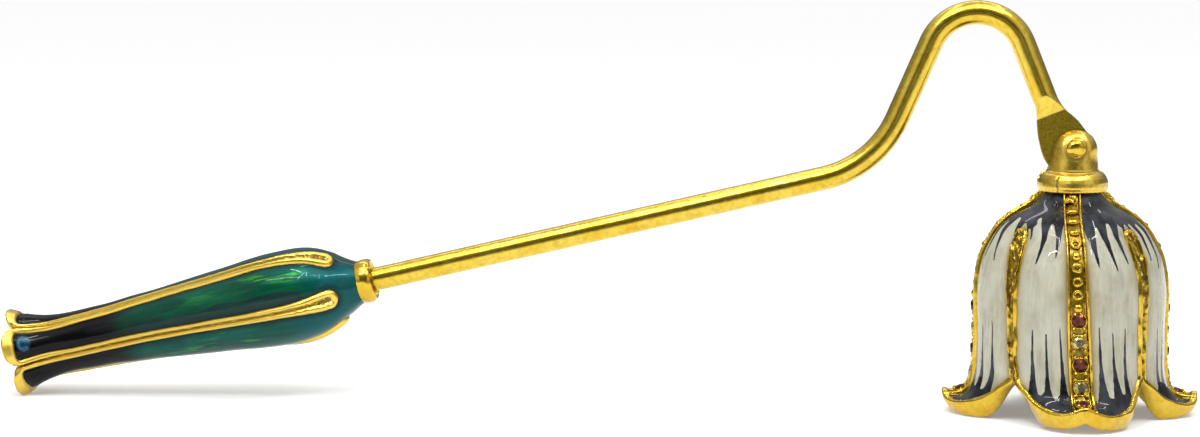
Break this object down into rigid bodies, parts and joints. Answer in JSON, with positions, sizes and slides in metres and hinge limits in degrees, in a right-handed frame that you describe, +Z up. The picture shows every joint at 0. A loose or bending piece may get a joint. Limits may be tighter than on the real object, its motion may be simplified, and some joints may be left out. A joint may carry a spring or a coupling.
{
  "type": "candle snuffer",
  "caption": "Tulip-shaped candle snuffer: an enamelled bell pivots in a slotted clevis at the end of a bent rod with an enamelled bud handle.",
  "frame": {"origin": "centre of the bell's mouth, on the surface that the snuffer stands on", "axes": "+Z up the bell's axis, +X along the arm from the handle towards the bell, +Y across the arm along the hinge"},
  "size_m": [0.2527, 0.0526, 0.085],
  "materials": {
    "gold_casting": "polished gold plate",
    "gold_rod": "satin gold plate",
    "gold_clevis": "polished gold plate",
    "fastener_brass": "plain brass",
    "pearl_enamel": "gloss pearl enamel with charcoal strokes",
    "green_enamel": "gloss translucent green enamel",
    "red_stone": "faceted red glass",
    "clear_stone": "faceted clear glass"
  },
  "bodies": {
    "arm": {"handle_core": "gold_casting", "handle_enamel": "green_enamel", "handle_ferrule": "gold_casting", "rod": "gold_rod"},
    "cup": {"hinge_pin": "gold_clevis", "clevis": "gold_clevis", "stud_washer": "fastener_brass", "stud_nut": "fastener_brass", "cup_casting": "gold_casting", "petal_enamel_back_right": "pearl_enamel", "petal_enamel_back_left": "pearl_enamel", "petal_enamel_front_left": "pearl_enamel", "petal_enamel_front_right": "pearl_enamel", "red_stones_right": "red_stone", "red_stones_back": "red_stone", "red_stones_left": "red_stone", "red_stones_front": "red_stone", "clear_stones_right": "clear_stone", "clear_stones_back": "clear_stone", "clear_stones_left": "clear_stone", "clear_stones_front": "clear_stone"}
  },
  "joints": [
    {"name": "cup_hinge", "type": "hinge", "parent": "arm", "child": "cup", "pos_m": [0, 0, 0.0553], "axis": [0, 1, 0], "range_deg": [-120, 50]}
  ]
}
